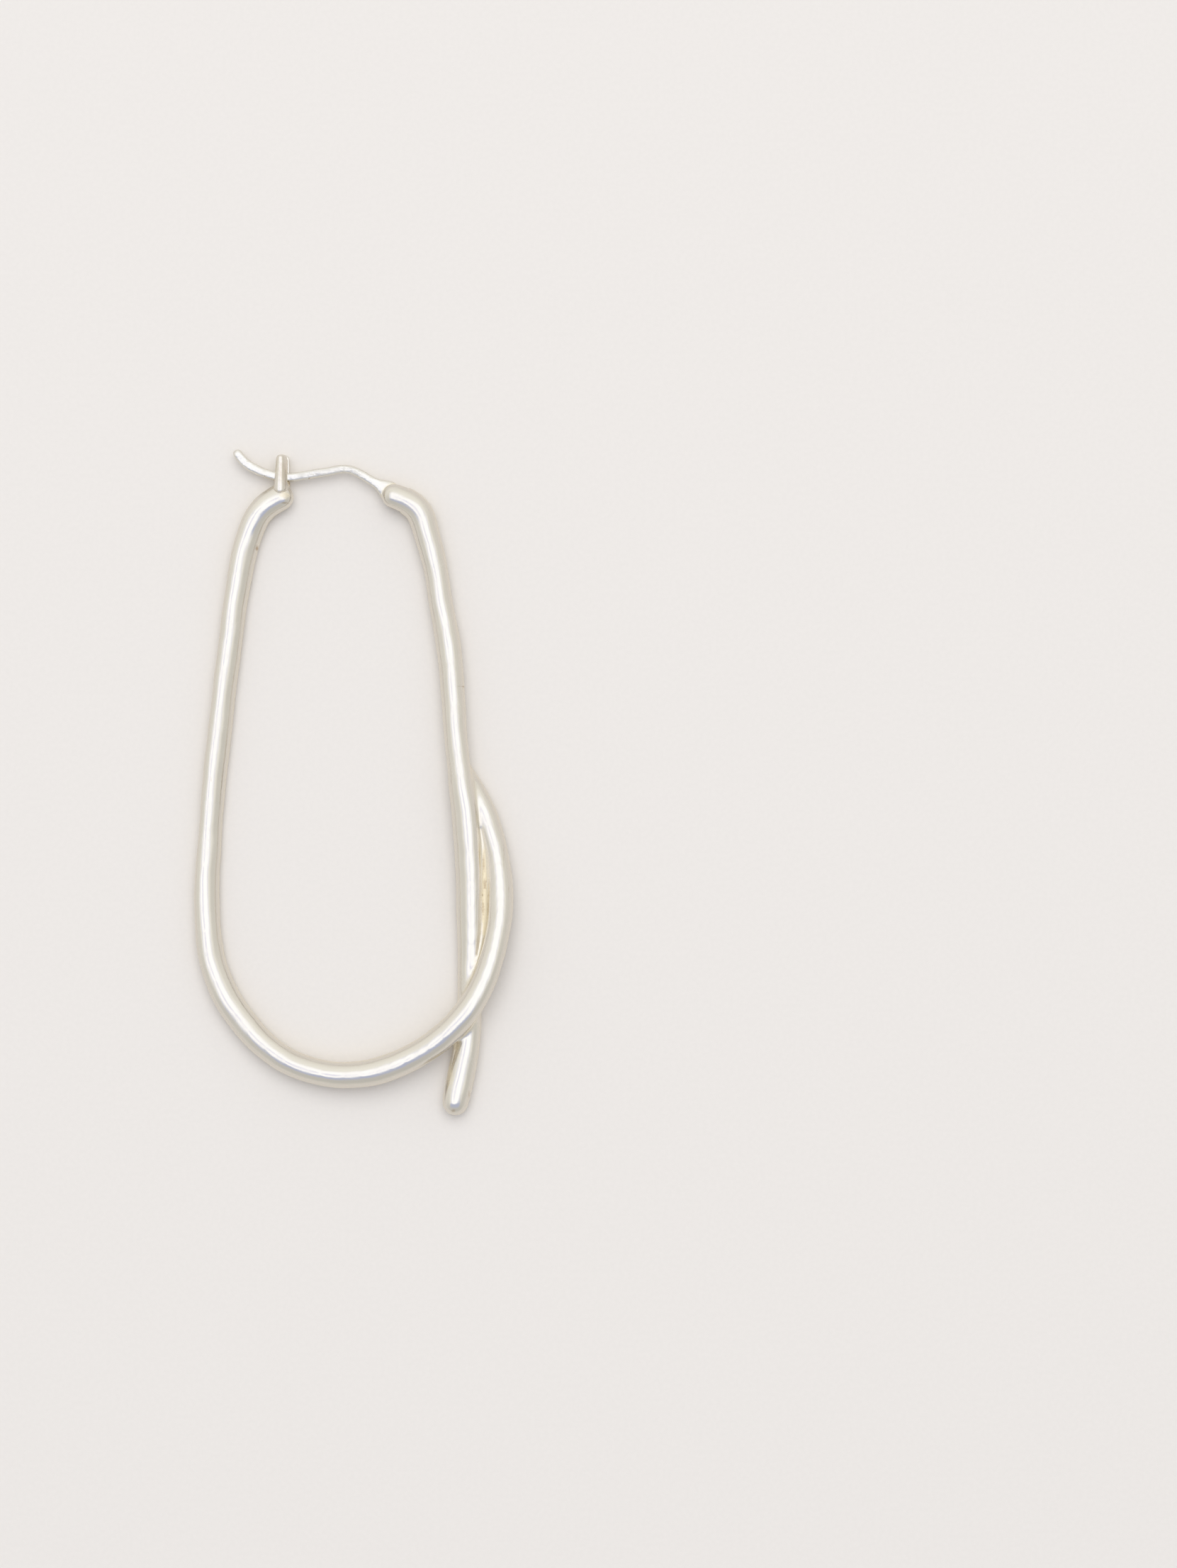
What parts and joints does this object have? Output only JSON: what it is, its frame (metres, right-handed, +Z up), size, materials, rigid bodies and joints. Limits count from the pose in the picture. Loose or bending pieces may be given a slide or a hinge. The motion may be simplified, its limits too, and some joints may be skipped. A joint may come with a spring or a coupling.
{
  "type": "hoop earring",
  "caption": "Long silver hoop earring: a round wire crosses its own straight side near the bottom, and a hinged flat post drops into a forked catch at the top.",
  "frame": {"origin": "middle of the earring's outline seen from above, on the surface that it lies on", "axes": "+Y up the earring from the free tail to the clasp, +X across it from the catch to the hinge, +Z up from the surface that it lies on"},
  "size_m": [0.0288, 0.06, 0.004],
  "materials": {
    "hoop_silver": "bright polished silver, yellowed in the web's recess and dulled at the edges",
    "post_silver": "bright silver with hammered flats",
    "pin_silver": "bright silver, filed flush"
  },
  "bodies": {
    "hoop": {"hoop": "hoop_silver", "hinge_pin": "pin_silver"},
    "ear_post": {"ear_post": "post_silver"}
  },
  "joints": [
    {"name": "post_hinge", "type": "hinge", "parent": "hoop", "child": "ear_post", "pos_m": [0.00367, 0.02591, 0.0012], "axis": [0, 0, -1], "range_deg": [0, 75]}
  ]
}
